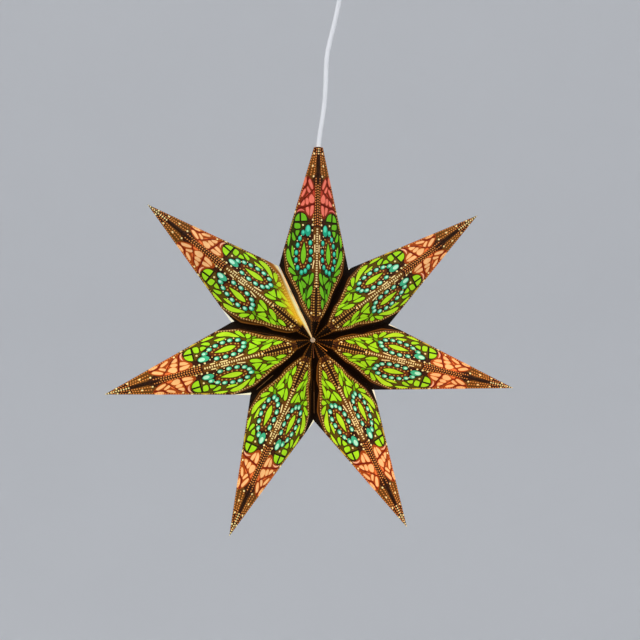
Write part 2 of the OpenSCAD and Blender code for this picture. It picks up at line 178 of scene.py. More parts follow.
def flank_lines(i, side, glue):
    """The upper edge and the foot of a flank, from the notch to the middle, as they lie on side 1."""
    h = half_angle(i)
    flap = is_flap(i, side)
    gaps, depths = (FLAP_GAPS, FLAP_DEPTHS) if flap else (PETAL_GAPS, SEAM_DEPTHS)
    unglued = flap or (i == TOP_ARM and side > 0)
    radii = np.array(stations())
    edge = [(u, v, petal_depth(h, u, v)) for u, v in petal_edge(h, gaps)]
    foot = np.column_stack([beside_seam(h, radii, PAD_T if unglued else glue), lookup(radii, depths)])
    return np.array([*edge, NECK_END]), foot


def even_width(u):
    """Half the width at u of the even petal, on which the print is drawn."""
    return edge_width(EVEN_HALF_ANGLE, PETAL_GAPS, u)


# The colour of the light through each arm. The lamp holder shades the top one
ARM_TINTS = [(0.86, 0.86, 0.92), (0.92, 0.94, 0.93), (1.18, 1.07, 0.95), (1.20, 1.12, 1.05),
             (1.02, 1.05, 0.97), (1.08, 1.11, 1.0), (0.88, 0.94, 0.97)]

# Inks of the print as they look when lit
INKS = {
    "ground": (0.22, 0.08, 0.015), "ochre": (0.42, 0.24, 0.045), "umber": (0.15, 0.06, 0.012),
    "soot": (0.085, 0.036, 0.012), "lead": (0.16, 0.11, 0.02), "moss": (0.37, 0.28, 0.03),
    "net": (0.44, 0.06, 0.02), "halo": (0.86, 0.46, 0.20), "rust": (0.64, 0.26, 0.06),
    "russet": (0.38, 0.17, 0.035), "rim": (0.42, 0.50, 0.04), "lime": (0.65, 0.87, 0.11),
    "spring": (0.73, 0.89, 0.14), "leaf": (0.44, 0.64, 0.05), "yellow": (0.85, 0.75, 0.16),
    "turquoise": (0.26, 0.70, 0.52), "mint": (0.74, 0.95, 0.82), "salmon": (1.0, 0.74, 0.49),
    "orange": (0.96, 0.46, 0.22), "pink": (1.0, 0.70, 0.54), "cream": (1.0, 0.88, 0.60),
    "straw": (0.92, 0.73, 0.42), "gold": (0.84, 0.62, 0.27), "amber": (0.92, 0.56, 0.27),
    "bronze": (0.52, 0.30, 0.10), "bead": (0.74, 0.50, 0.20), "bare": (1.0, 0.95, 0.84),
}

# Inks that don't let through the full light, or let through more, and inks with fine ornament
INK_LIGHT = {"umber": 0.9, "lead": 0.8, "moss": 0.9, "bare": 1.2}
INK_ORNAMENT = {"ground": 0.2, "ochre": 0.3, "umber": 0.1}

# Inks that look deeper on the shaded top arm
SHADED_INKS = {
    "lime": (0.44, 0.75, 0.12), "spring": (0.50, 0.80, 0.14), "leaf": (0.24, 0.48, 0.06),
    "rim": (0.22, 0.32, 0.03), "yellow": (0.50, 0.52, 0.12), "moss": (0.22, 0.21, 0.03),
    "salmon": (0.97, 0.49, 0.39), "halo": (0.70, 0.25, 0.16), "net": (0.38, 0.045, 0.025),
    "rust": (0.50, 0.17, 0.06), "orange": (0.76, 0.26, 0.17), "pink": (0.92, 0.44, 0.38),
    "turquoise": (0.14, 0.66, 0.50), "mint": (0.34, 0.88, 0.70),
}


# Shapes of the print, in the flat space of half a petal: u from the star's middle, v from the ridge
def ellipse(u, v, half_u, half_v, sides=14):
    turns = [2 * math.pi * k / sides for k in range(sides)]
    return [(u + half_u * math.cos(t), v + half_v * math.sin(t)) for t in turns]


def bowed(start, end, bend, count):
    """Points on a bow from start to end, whose middle stands off by bend times its length."""
    (u0, v0), (u1, v1) = start, end
    points = []
    for k in range(count + 1):
        t = k / count
        lift = 4 * bend * t * (1 - t)
        points.append((u0 + (u1 - u0) * t - (v1 - v0) * lift, v0 + (v1 - v0) * t + (u1 - u0) * lift))
    return points


def band(points, widths):
    """Outline of a band along points, with a width at each."""
    p = np.array(points, float)
    run = np.gradient(p, axis=0)
    across = np.stack([-run[:, 1], run[:, 0]], -1) / np.linalg.norm(run, axis=1)[:, None]
    off = across * np.array(widths, float)[:, None] / 2
    return [tuple(q) for q in np.concatenate([p + off, (p - off)[::-1]])]


def leaf(start, end, width, bend=0.0, belly=1.0, count=9):
    """A leaf from start to end. A belly over 1 moves its widest place towards the end."""
    points = bowed(start, end, bend, count)
    widths = [width * math.sin(math.pi * (k / count) ** belly) ** 0.75 + 0.02 for k in range(count + 1)]
    return band(points, widths)


def rounded(corners, rounds=2, cut=0.16):
    """A polygon whose corners are cut off, again and again."""
    for _ in range(rounds):
        following = corners[1:] + corners[:1]
        corners = [
            (a[0] + (b[0] - a[0]) * share, a[1] + (b[1] - a[1]) * share)
            for a, b in zip(corners, following)
            for share in (cut, 1 - cut)
        ]
    return corners


def stroke(start, end, width, bend=0.0, count=6):
    return band(bowed(start, end, bend, count), [width] * (count + 1))


def turned_left(loop):
    """The loop in counter-clockwise order."""
    x, y = np.array(loop, float).T
    area = np.sum(x * np.roll(y, -1) - y * np.roll(x, -1))
    return loop if area > 0 else loop[::-1]


def grown(loop, reach):
    """The loop moved outwards by a distance."""
    p = np.array(turned_left(loop), float)
    run = np.roll(p, -1, axis=0) - np.roll(p, 1, axis=0)
    outward = np.stack([run[:, 1], -run[:, 0]], -1) / np.linalg.norm(run, axis=1)[:, None]
    return [tuple(q) for q in p + reach * outward]


def scaled(loop, share):
    """The loop made smaller or larger about its middle."""
    p = np.array(loop, float)
    return [tuple(q) for q in p.mean(0) + (p - p.mean(0)) * share]


# The green cells' darker rim and the dark line round it, in mm, and the size of a large cell as a share
CELL_RIM = 0.4
LEAD_W = 0.75
CELL_SCALE = 0.92


def leaded(cells):
    """Cells with a darker rim and a dark line round each. Every line lies under every cell."""
    lines = [("lead", grown(points, CELL_RIM + LEAD_W)) for _, points in cells]
    rims = [("rim", grown(points, CELL_RIM)) for _, points in cells]
    return lines + rims + cells


def along(path, spacing, start=0.0):
    """Points at even steps along a path."""
    p = np.array(path, float)
    reach = np.concatenate([[0], np.cumsum(np.linalg.norm(np.diff(p, axis=0), axis=1))])
    places = np.arange(start, reach[-1], spacing)
    return list(zip(np.interp(places, reach, p[:, 0]), np.interp(places, reach, p[:, 1])))


def spots(ink, places, half_u, half_v, sides=14):
    return [(ink, ellipse(u, v, half_u, half_v, sides)) for u, v in places]


def row_of_dots(ink, path, half_u, half_v, start=0.0, spacing=3.7):
    return spots(ink, along(path, spacing, start), half_u, half_v, 8)


def edge_path(from_u, to_u, inset=0.0, share=1.0, step=4):
    """A path that follows the petal's edge, at a share of its half width and inset by a distance."""
    return [(u, share * even_width(u) - inset) for u in np.arange(from_u, to_u, -step)]


def field_shapes():
    """Broad fields of ground colour, from the arm's point to the crown."""
    past, inner_u, border_u, border_w = 1, 20, 135, 4
    edge = edge_path(ARM_REACH, inner_u, -past, step=5)
    whole = [(ARM_REACH + past, -past), *edge, (inner_u, -past)]
    border = [(u, v) for u, v in edge if u < border_u]
    border_inside = [(u, v - border_w) for u, v in border]
    return [
        ("ground", whole),
        ("ochre", [(262, 10.5), (231, 18.5), (225, 9), (238, 2.4), (262, 2.4)]),
        ("rust", rounded([(234, 13), (232, 18), (205, 25.4), (184, 30), (178, 16), (170, 10.6), (171, 5),
                          (190, 3.4), (214, 3.4), (225, 7)])),
        ("moss", rounded([(182, 21), (176, 31), (160, 33.6), (140, 37.4), (126, 41.4), (104, 38), (88, 32),
                          (79, 26), (60, 19.5), (42, 11), (42, 7.5), (70, 4.6), (95, 2.8), (98, 12),
                          (108, 28), (132, 29), (152, 22), (168, 11)], 1)),
        ("umber", ellipse(122, 17.3, 33, 11.6, 28)),
        ("umber", leaf((164, 9), (143, 15.5), 12)),
        ("russet", ellipse(121.5, 17.5, 23, 7.4, 24)),
        ("ochre", [*border_inside, (inner_u, 2), (inner_u, 6), *border[::-1]]),
        ("umber", leaf((268, 0), (219, 0), 4.6)),
        ("ochre", [(158, -1), (158, 4.6), (140, 5.4), (118, 5), (96, 6.6), (90, 5), (78, 3), (78, -1)]),
        ("umber", leaf((79, 0), (26, 0), 3.2)),
    ]


def lattice_shapes():
    """Salmon cells near the arm's point, in a rust field, between dark red lines."""
    cells = [
        [(229, 11), (226, 13), (219, 11), (213.5, 8.4), (213.4, 6.6), (218, 6.8), (225, 9)],
        [(231, 15.6), (231.4, 18), (220, 20), (218.6, 17.6), (225, 15.2)],
        [(218, 13.6), (216, 14.8), (210, 13.2), (207.6, 11), (209, 9.2), (213, 11)],
        [(215, 16.2), (213, 18.8), (204, 22), (202.6, 20.6), (206, 18.2), (212, 15.8)],
        [(206.4, 8.4), (203, 11.2), (197, 11.8), (193.4, 10), (193, 6.2), (196, 4.4), (201, 5)],
        [(201.4, 14.2), (199, 16.2), (192, 15.6), (190.8, 13.2), (194, 11.8), (199, 12.4)],
        [(199, 18), (196, 20), (191, 22.4), (189.8, 20.6), (190.4, 18), (195, 16.8)],
        [(189.6, 5.6), (188.6, 9), (182, 9.8), (173.6, 9.8), (177.4, 6.4), (184, 5.2)],
        [(188, 12.2), (187, 15.6), (181, 15), (175, 11.6), (179, 11), (184, 11.2)],
    ]
    cells = [rounded(cell) for cell in cells]
    halo_w = 0.6
    shapes = [("halo", grown(cell, halo_w)) for cell in cells]
    shapes += [("salmon", cell) for cell in cells]
    shapes.append(("orange", rounded([(211, 4.8), (211, 6.8), (206, 6.8), (202.6, 5), (204, 4)])))
    shapes.append(("orange", rounded([(208, 12.6), (206, 15.2), (201.4, 17), (202.5, 13.8), (205, 11.8)])))
    lines = [
        ([(232, 13.2), (226, 13.8), (219, 15), (215, 19), (211, 22)], 1.5),
        ([(215, 3.6), (210, 8.2), (205.4, 12.6), (201, 17), (195, 21.8)], 1.3),
        ([(192, 3.2), (190, 10), (187.6, 17), (187.4, 22), (184, 28)], 2),
    ]
    shapes += [("net", band(path, [width] * len(path))) for path, width in lines]
    shapes.append(("pink", leaf((181.6, 16.8), (180, 27.6), 2.4, -0.3)))
    return shapes


def leaf_shapes():
    """Rounded cells and leaves between the medallion and the petal's edge."""
    dome = [(167.6 + 12 * math.sin(t), 21.6 - 8.4 * math.cos(t)) for t in np.linspace(0, math.pi, 15)]
    cells = [
        [(165.6, 30.2), (164.4, 22.4), (157.2, 21.6), (156.4, 27), (158, 30.4)],
        [(154.6, 22.6), (154.8, 28.4), (149.5, 28.6), (145.4, 26.2), (149, 24.4)],
        [(153.4, 32.3), (146.5, 33.4), (140.6, 32), (139, 29.6), (140.8, 27.6), (146.5, 29.2)],
        [(130.5, 38), (126, 40.2), (118.5, 40.4), (111.5, 38.8), (104.5, 34.8), (98.4, 30.2), (95.4, 27.4),
         (102.5, 28.8), (110, 32), (117.5, 34.2), (124.5, 35.4)],
        [(102, 36.4), (98.5, 37.2), (94.5, 35.2), (91.4, 31), (89.4, 26.2), (92.6, 27), (96.5, 29.8),
         (100.6, 33.2)],
        [(88.8, 24), (89, 29.6), (86, 31), (82.6, 29.8), (81, 27.4), (84, 24.6)],
    ]
    loops = [scaled(loop, CELL_SCALE) for loop in [dome, *map(rounded, cells)]]
    crescent = 4
    shapes = [("spring" if k == crescent else "lime", loop) for k, loop in enumerate(loops)]
    shapes += [
        ("spring", leaf((150.6, 35), (131.4, 37.4), 3.0, -0.04)),
        ("spring", leaf((133, 32.6), (116, 31.8), 3.2, 0.04)),
        ("leaf", leaf((81.4, 23.6), (74.6, 25.4), 1.8)),
        ("spring", leaf((136.6, 16.8), (106, 18), 6.2, 0, 1.35, 14)),
    ]
    return leaded(shapes) + [
        ("lead", stroke((181, 22.8), (166, 22.2), 2.3)),
        ("lead", stroke((167, 12), (167, 31), 2.2)),
        ("yellow", leaf((170, 31.6), (157, 35), 1.7, -0.03)),
    ]


def shard_shapes():
    """The fans of narrow shards that run down to the crown."""
    cells = [
        [(93, 4.6), (91.4, 7.2), (84, 9), (76, 10), (76.4, 8.2), (82, 4.9), (90, 3.5)],
        [(91.6, 9.8), (87.8, 13.2), (86.8, 18.6), (82, 15), (77, 11.6), (84, 10)],
        [(83, 19.9), (79.4, 19.8), (71.6, 16.8), (71.6, 14.4), (76, 13), (79, 15.4)],
    ]
    shapes = [("lime", rounded(cell)) for cell in cells]
    shapes += [
        ("lime", leaf((82, 22.4), (60.5, 19), 3.6, 0.06)),
        ("lime", leaf((75, 6), (57, 12.2), 5.2, 0.03, 0.85)),
        ("leaf", leaf((70.6, 13.2), (61, 13.8), 2.6)),
        ("lime", leaf((65, 15.6), (53.4, 16), 4)),
        ("lime", leaf((56.4, 9.4), (42.6, 9.6), 4, 0, 0.85)),
        ("leaf", leaf((92, 20), (83, 23), 2.8)),
        ("leaf", leaf((56, 13.4), (49.4, 13.6), 2)),
        ("leaf", leaf((92, 16.6), (88.6, 21.4), 1.6)),
    ]
    return leaded(shapes)


def medallion_shapes():
    """A ring of turquoise beads with its two large ones, and small cream dots round them."""
    ring = [(135.8, 8.8), (123.2, 8), (111.8, 8.6), (101.6, 10.9), (95.8, 14.8), (93.9, 19.6), (100.7, 24.8),
            (111.7, 27), (122.2, 26.8), (133, 25.2), (142.6, 22.5)]
    shapes = spots("lead", ring, 4.7, 3.1, 12)
    shapes += [
        ("lead", ellipse(153.6, 12.2, 9.3, 4.5, 18)),
        ("lead", ellipse(150.6, 18.5, 5.2, 3.4)),
    ]
    for u, v in ring:
        shapes.append(("turquoise", ellipse(u, v, 3.8, 2.4)))
        shapes.append(("mint", ellipse(u + 0.7, v, 2.3, 1.5, 10)))
    shapes += [
        ("turquoise", ellipse(153.6, 12.2, 8.3, 3.7, 18)),
        ("mint", ellipse(156.2, 12, 4.6, 2.3, 12)),
        ("turquoise", ellipse(150.6, 18.5, 4.3, 2.6)),
        ("mint", ellipse(151.6, 18.4, 2.4, 1.5, 10)),
    ]
    inner = [(141.4, 12), (139.6, 18.2), (136.6, 14), (136, 20.6), (130.6, 13), (130, 21.8), (125.8, 12.4),
             (124.4, 22.6), (119.6, 12.4), (118, 23), (112.8, 12.8), (111.2, 22.8), (107, 14.6),
             (105.4, 21.2), (102.4, 16.6), (101.6, 20.2)]
    shapes += spots("gold", inner, 1.1, 0.85)
    outer = [(130.4, 9.4), (129.4, 6), (117.4, 5.6), (105, 7.2), (128, 29.4), (116.8, 29.8), (105.6, 28.4),
             (139.4, 25.8), (146.4, 20.8), (145.2, 9.4), (139.6, 5.8)]
    return shapes + spots("cream", outer, 0.95, 0.75)


def dot_shapes():
    """Rows of small gold and cream dots, and the bars beside the ridge."""
    rows = [
        ("cream", [(298, 0.2), (264, 0.2)], 1.1, 0.9),
        ("amber", edge_path(276, 230, share=0.34), 1.1, 0.8),
        ("amber", edge_path(266, 232, share=0.60), 1.1, 0.75, 1.8),
        ("amber", edge_path(290, 190, 1.2), 1.1, 0.7, 0.9),
        ("gold", edge_path(190, 130, 1.2), 1.1, 0.7),
        ("straw", edge_path(127, 30, 1.0), 1.05, 0.7, 0, 3.9),
        ("gold", edge_path(84, 34, 3.2), 0.9, 0.6, 1.8),
        ("amber", [(218, 0), (160, 0)], 0.95, 1.1),
        ("amber", [(230, 2.8), (160, 3)], 1.0, 0.75, 1.8),
        ("cream", [(155, 0), (79, 0)], 1.0, 1.5, 0, 3.45),
        ("gold", [(79, 1.8), (70, 2.6), (60, 3.1), (44, 3.2), (31, 2.6)], 0.95, 1.2, 0.6),
        ("bead", [(70, 5), (60, 5.7), (44, 6), (32, 4.8)], 0.95, 0.85, 2.2),
        ("gold", [(176, 5.4), (160, 5.2)], 1.1, 0.75),
        ("gold", [(137.6, 3.6), (134, 3.6)], 1.0, 0.7),
        ("gold", [(119, 3.8), (112, 4)], 1.0, 0.7),
    ]
    shapes = [dot for row in rows for dot in row_of_dots(*row)]
    shapes += spots("cream", [(74, 0)], 1.5, 1.3)
    large = [(282, 3.3), (265.5, 6), (247.5, 7.4), (232, 6.2), (193, 24.4), (181.5, 29.6), (169, 6.2),
             (161.4, 6.2), (161.8, 18.8), (153.4, 6.5), (36.8, 6)]
    shapes += spots("cream", large, 1.5, 1.2, 10)
    bars = [((147, 3.4), (140, 3.6)), ((133, 3), (122, 2.8)), ((110.5, 3.6), (99, 5.4))]
    return shapes + [("cream", stroke(high, low, 1.4)) for high, low in bars]


def print_shapes():
    """The whole print on half a petal. What comes later lies over what comes before."""
    return (field_shapes() + lattice_shapes() + leaf_shapes() + shard_shapes()
            + medallion_shapes() + dot_shapes())


def even_petal():
    """The print as a mesh of triangles: places in the flat half petal, triangles, and each one's ink."""
    edge = petal_edge(EVEN_HALF_ANGLE, PETAL_GAPS)
    crease_step, merge_reach = 6, 1e-4
    crease = along([(ARM_REACH, 0), edge[0]], crease_step, crease_step)
    outline = [(ARM_REACH, 0.0), *crease, *map(tuple, edge), (CROWN_RADIUS, 0.0)]
    far_u, low_v, high_v = ARM_REACH + 9, -5, 60
    mouth = [(MOUTH_U, low_v), (MOUTH_U, high_v), (far_u, high_v), (far_u, low_v)]
    shapes = print_shapes()
    loops = [outline, mouth] + [points for _, points in shapes]
    places, faces = [], []
    for loop in loops:
        loop = turned_left(loop)
        faces.append(list(range(len(places), len(places) + len(loop))))
        places += [Vector((float(u), float(v))) for u, v in loop]
    flat, _, found, _, _, sources = delaunay_2d_cdt(places, [], faces, 1, merge_reach)
    triangles, inks, beyond = [], [], []
    for corners, origins in zip(found, sources):
        if 0 in origins:
            triangles.append(corners)
            inks.append(max([k - 2 for k in origins if k > 1], default=0))
            beyond.append(1 in origins)
    flat = np.array([tuple(p) for p in flat])
    return flat, np.array(triangles), [shapes[k][0] for k in inks], np.array(beyond)


# A corner's light says how much shines through, how much ornament there is, and how much painted glow it
# gets from the light leaking past the raised flap
PLAIN_LIGHT = (1.0, 0.0, 0.0)


class Sheet:
    """A mesh in the making, in an arm's own space, with the print's colour and light at each corner."""

    def __init__(self):
        self.parts = []
        self.count = 0

    def add(self, points, triangles, colours, lights):
        """Adds triangles, with a colour and a light for each corner of each triangle."""
        colours, lights = (np.asarray(rows, float).reshape(-1, 3) for rows in (colours, lights))
        self.parts.append((np.asarray(points, float), np.asarray(triangles) + self.count, colours, lights))
        self.count += len(points)

    def add_quad(self, points, side, colours, lights):
        """Adds a patch with a colour and a light at each of its four corners, turned over on side -1."""
        faces = [(0, 1, 2), (0, 2, 3)] if side > 0 else [(2, 1, 0), (3, 2, 0)]
        corners = [c for face in faces for c in face]
        self.add(points, faces, [colours[c] for c in corners], [lights[c] for c in corners])

    def joined(self):
        """The points, faces, colours and lights of all the parts."""
        return [np.concatenate(rows) for rows in zip(*self.parts)]

    def add_back(self):
        """Adds the mirror image behind the star's middle plane."""
        points, faces, colours, lights = self.joined()
        turned = [rows.reshape(-1, 3, 3)[:, ::-1] for rows in (colours, lights)]
        self.add(points * (1, 1, -1), faces[:, ::-1], *turned)


def linear(colour):
    """A colour as it shows on a screen, turned into linear light."""
    return np.array([((c + 0.055) / 1.055) ** 2.4 if c > 0.04 else c / 12.92 for c in colour])


def corner_rows(inks, shaded=False):
    """Colour and light of each corner, from one ink a triangle."""
    tones = {**INKS, **SHADED_INKS} if shaded else INKS
    colours = np.repeat([linear(tones[k]) for k in inks], 3, axis=0)
    lights = np.repeat([(INK_LIGHT.get(k, 1.0), INK_ORNAMENT.get(k, 0.0), 0.0) for k in inks], 3, axis=0)
    return colours, lights


# How far the print's rim reaches beyond the petal's fold at a radius, in mm, and what is added to it on the
# anticlockwise and the clockwise side of each arm. That fades out near both ends of the valley, over the
# stated length. A petal gives up at most the stated share of its half width
RIM_WAVE = [(25, 0.2), (40, 0.2), (56, 1.3), (70, -1.8), (84, 0.4), (100, 1.9), (108, 1.3), (115, 0.3)]
RIM_SHIFT = [(1.0, 1.0), (0.2, -1.7), (1.8, 0.3), (-0.6, 1.8), (-3.4, 0.7), (-0.3, -3.4), (3.2, 0.0)]
RIM_FADE = 12
MOST_LOSS = 0.3

# The strip between the rim and the fold, where the rim stays inside the petal: places across it, as shares
# from the fold inwards, their colours, and how far it reaches and lies under the print, in mm
STRIP_PARTS = [0, 0.55, 0.7, 1, 1.1]
STRIP_TONES = [(0.09, 0.04, 0.012), (0.09, 0.04, 0.012), (0.62, 0.38, 0.13), (0.50, 0.28, 0.08),
               (0.42, 0.24, 0.06)]
STRIP_STEPS = 40
STRIP_LAP = 0.05
STRIP_DROP = 0.02

# Where the light that leaks past the raised flap begins on its petal and where it is full, in mm: inwards
# from the edge, along the arm, and out from the ridge
WARM_FROM_EDGE = (16.25, 3.25)
WARM_ALONG = (106, 51)
WARM_FROM_RIDGE = (2, 6)


def rim_reach(i, side, radius):
    """How far the print passes the fold, in mm. Below zero it ends inside the petal."""
    inner = fade(radius, WEB_RADIUS, WEB_RADIUS + RIM_FADE)
    outer = fade(radius, NOTCH_RADIUS, NOTCH_RADIUS - RIM_FADE)
    return lookup(radius, RIM_WAVE) + RIM_SHIFT[i][side < 0] * inner * outer


def rim_loss(i, side, u, width):
    """How much of the petal's half width at u is left to the dark strip."""
    return np.clip(-rim_reach(i, side, u / math.cos(half_angle(i))), 0, MOST_LOSS * width)


def add_petal(sheet, i, side, petal):
    """Lays the print over one petal of arm i. The side is 1 or -1."""
    flat, triangles, inks, beyond = petal
    h = half_angle(i)
    flap = is_flap(i, side)
    gaps = FLAP_GAPS if flap else PETAL_GAPS
    u = flat[:, 0]
    level = np.minimum(u, ARM_REACH - 1)
    stretch = edge_width(h, gaps, level) / even_width(level)
    width = np.maximum(edge_width(h, gaps, level), 1)
    lost = np.zeros(len(u)) if flap else rim_loss(i, side, u, width) * (u < shoulder(h)[0])
    v = flat[:, 1] * stretch * (1 - lost / width)
    keep = ~beyond if i == TOP_ARM else np.ones(len(beyond), bool)
    colours, lights = corner_rows([k for k, kept in zip(inks, keep) if kept], i == TOP_ARM)
    points = np.stack([u, side * v, petal_depth(h, u, v)], -1)
    faces = triangles[keep] if side > 0 else triangles[keep][:, ::-1]
    if flap:
        # A painted glow of the bulb's light leaking past the raised flap, strongest near its edge and
        # towards the middle
        inwards = edge_width(h, gaps, u) - v
        leak_glow = fade(inwards, *WARM_FROM_EDGE) * fade(u, *WARM_ALONG) * fade(v, *WARM_FROM_RIDGE)
        lights[:, 2] = leak_glow[faces.reshape(-1)]
    sheet.add(points, faces, colours, lights)
    if not flap:
        add_dark_strip(sheet, i, side)


def add_dark_strip(sheet, i, side):
    """The black strip between the print's rim and the fold, where the rim stays inside the petal."""
    h = half_angle(i)
    us = np.linspace(shoulder(h)[0], CROWN_RADIUS, STRIP_STEPS)
    edges = edge_width(h, PETAL_GAPS, us)
    lost = rim_loss(i, side, us, edges)
    tones = [linear(c) for c in STRIP_TONES]
    rows = [[(u, edge - part * gone - (STRIP_LAP if part else 0)) for part in STRIP_PARTS]
            for u, edge, gone in zip(us, edges, lost)]
    for k in range(len(us) - 1):
        if max(lost[k], lost[k + 1]) < STRIP_LAP:
            continue
        for m in range(len(STRIP_PARTS) - 1):
            flat = [rows[k][m], rows[k][m + 1], rows[k + 1][m + 1], rows[k + 1][m]]
            points = [(u, side * v, float(petal_depth(h, u, v)) - STRIP_DROP) for u, v in flat]
            shades = [tones[m], tones[m + 1], tones[m + 1], tones[m]]
            sheet.add_quad(points, side, shades, [PLAIN_LIGHT] * 4)


# How far the bare paper shows beside each notch, painted pale as lit by the bulb's light leaking there:
# length along the crease and width across, in mm. It stands a little off the flank
LIT_BARE_SLIVERS = {1: (4, 2), 2: (16, 2.4), 3: (18, 4.6), 4: (17, 4), 5: (24, 4.8), 6: (24, 6)}
SLIVER_RISE = 0.06

# The flanks' colours, by the share of the way down to the seam: up to the print's rim, and beyond it. The
# rim keeps between two shares of that way, and has its own on the necks
RIM_RAMP = [(0.0, (0.30, 0.17, 0.04)), (0.5, (0.27, 0.145, 0.035)), (0.85, (0.56, 0.33, 0.11)),
            (1.0, (0.38, 0.21, 0.06))]
DARK_RAMP = [(0.06, (0.14, 0.06, 0.015)), (0.3, (0.08, 0.036, 0.012)), (0.95, (0.07, 0.033, 0.013)),
             (1.0, (0.08, 0.04, 0.017))]
RIM_SHARES = (0.03, 0.85)
NECK_RIM = 0.16
FLANK_ROWS = 6

# The raised flap's colours by the same share: a painted glow of the bulb's light through the unglued seam,
# from orange to cream towards its edge. Its dimmer far tone comes in between two radii, and fades again
# between two shares near its bright edge. Its light grows by the extra towards that edge
FLAP_GLOW_RAMP = [(0.0, (0.93, 0.60, 0.11)), (0.2, (1.0, 0.79, 0.30)), (0.5, (1.0, 0.91, 0.58)),
             (0.8, (1.0, 0.95, 0.76)), (1.0, (0.98, 0.84, 0.52))]
FLAP_SHARES = [0, 0.2, 0.5, 0.65, 0.8, 0.95, 1]
FLAP_DIM_TONE = (0.60, 0.34, 0.07)
FLAP_FAR = (58, 104)
FLAP_EDGE = (0.95, 0.6)
FLAP_EXTRA_LIGHT = 0.3

# Seams whose bare edge shows as a thin thread of light: its colour on each stretch of the flank
THREADS = {
    2: {6: (1.0, 0.74, 0.34)},
    3: {1: (0.50, 0.34, 0.20), 2: (0.50, 0.34, 0.20), 3: (0.34, 0.20, 0.10), 6: (0.72, 0.46, 0.30)},
    4: {1: (0.58, 0.42, 0.26), 2: (0.50, 0.36, 0.22)},
}


def ramp(table, share):
    """Linear colour at a share, from a table of screen colours."""
    places = [s for s, _ in table]
    return linear([float(np.interp(share, places, [c[k] for _, c in table])) for k in range(3)])


def flap_glow_tone(share, radius):
    """The raised flap's colour, a painted glow of the bulb's light: creamy near the middle, and a dimmer
    orange but for its bright edge near the notch.
    """
    dim = float(fade(radius, *FLAP_FAR) * fade(share, *FLAP_EDGE))
    return between(ramp(FLAP_GLOW_RAMP, share), linear(FLAP_DIM_TONE), dim)


def flank_tones(raised, rim, radius):
    """Shares of the way down a flank, and the colour at each. The rim is the print's share."""
    # The raised flap's tones are a painted glow of the bulb's light
    if raised:
        return [(s, flap_glow_tone(s, radius)) for s in FLAP_SHARES]
    return ([(s * rim, ramp(RIM_RAMP, s)) for s, _ in RIM_RAMP]
            + [(rim + s * (1 - rim), ramp(DARK_RAMP, s)) for s, _ in DARK_RAMP])


def add_flank(sheet, i, side):
    """The steep side of a petal, down to the seam. The raised flap glows towards its edge."""
    raised = is_flap(i, side)
    thread = THREADS.get(i if side < 0 else (i - 1) % ARM_COUNT, {})
    radii = stations()
    edge, foot = flank_lines(i, side, 0)
    for stretch in range(len(edge) - 1):
        for row in range(FLANK_ROWS):
            ends = []
            for t in (row / FLANK_ROWS, (row + 1) / FLANK_ROWS):
                top, low, radius = (between(*line[stretch:stretch + 2], t) for line in (edge, foot, radii))
                reach = rim_reach(i, side, radius) / lookup(radius, PETAL_GAPS)
                rim = NECK_RIM if radius < WEB_RADIUS else float(np.clip(reach, *RIM_SHARES))
                tones = flank_tones(raised, rim, radius)
                ends.append([(between(top, low, s), s, tone) for s, tone in tones])
            for m in range(len(ends[0]) - 1):
                patch = [ends[0][m], ends[0][m + 1], ends[1][m + 1], ends[1][m]]
                last = m == len(ends[0]) - 2
                add_flank_patch(sheet, patch, side, raised, thread.get(stretch) if last else None)
    if not raised and side > 0 and i in LIT_BARE_SLIVERS:
        add_lit_sliver(sheet, edge, foot[0], side, LIT_BARE_SLIVERS[i])


def add_flank_patch(sheet, patch, side, raised, thread):
    """One patch of a flank, from its four corners: place, share of the way down, and colour."""
    tones = [linear(thread)] * 4 if thread else [tone for _, _, tone in patch]
    lights = [(1.0 + FLAP_EXTRA_LIGHT * s if raised else 1.0, 0.0, 0.0) for _, s, _ in patch]
    points = np.array([place for place, _, _ in patch]) * (1, side, 1)
    sheet.add_quad(points, side, tones, lights)


def add_lit_sliver(sheet, edge, notch, side, size):
    """Bare paper between the petal's edge and the crease, widest at the notch, painted pale as lit by the
    light leaking at the notch.
    """
    length, width = size
    outward, inward = edge[0] - notch, edge[1] - notch
    tip = notch + outward * min(1, length / np.linalg.norm(outward))
    foot = notch + inward * width / np.linalg.norm(inward)
    normal = np.cross(outward, inward)
    rise = math.copysign(SLIVER_RISE, normal[2]) * normal / np.linalg.norm(normal)
    points = np.array([p + rise for p in (notch, foot, tip)]) * (1, side, 1)
    # Bright bare ink: the paper's own colour with painted light leaking at the notch
    sheet.add(points, [(0, 1, 2)], *corner_rows(["bare"]))


def add_neck(sheet, i, side):
    """The narrow neck from the crown to the middle, with a row of dots along its edge."""
    h = half_angle(i)
    crown = np.array([CROWN_RADIUS, 0, CROWN_DEPTH])
    crown_side = np.array([CROWN_RADIUS, NECK_HALF, petal_depth(h, CROWN_RADIUS, NECK_HALF)])
    end = np.array(NECK_END, float)
    end_ridge = np.array([end[0], 0, end[2] + NECK_RISE])
    steps, across = 14, 5
    for k in range(steps):
        for m in range(across):
            quad = []
            for a, b in ((k, m), (k, m + 1), (k + 1, m + 1), (k + 1, m)):
                top = between(crown, crown_side, b / across)
                low = between(end_ridge, end, b / across)
                quad.append(between(top, low, a / steps))
            dotted = m == across - 1 and k % 2 == 0 or k == 0 and m % 2 == 1
            tone = linear(INKS["bronze" if dotted else "soot"])
            sheet.add_quad(np.array(quad) * (1, side, 1), side, [tone] * 4, [PLAIN_LIGHT] * 4)


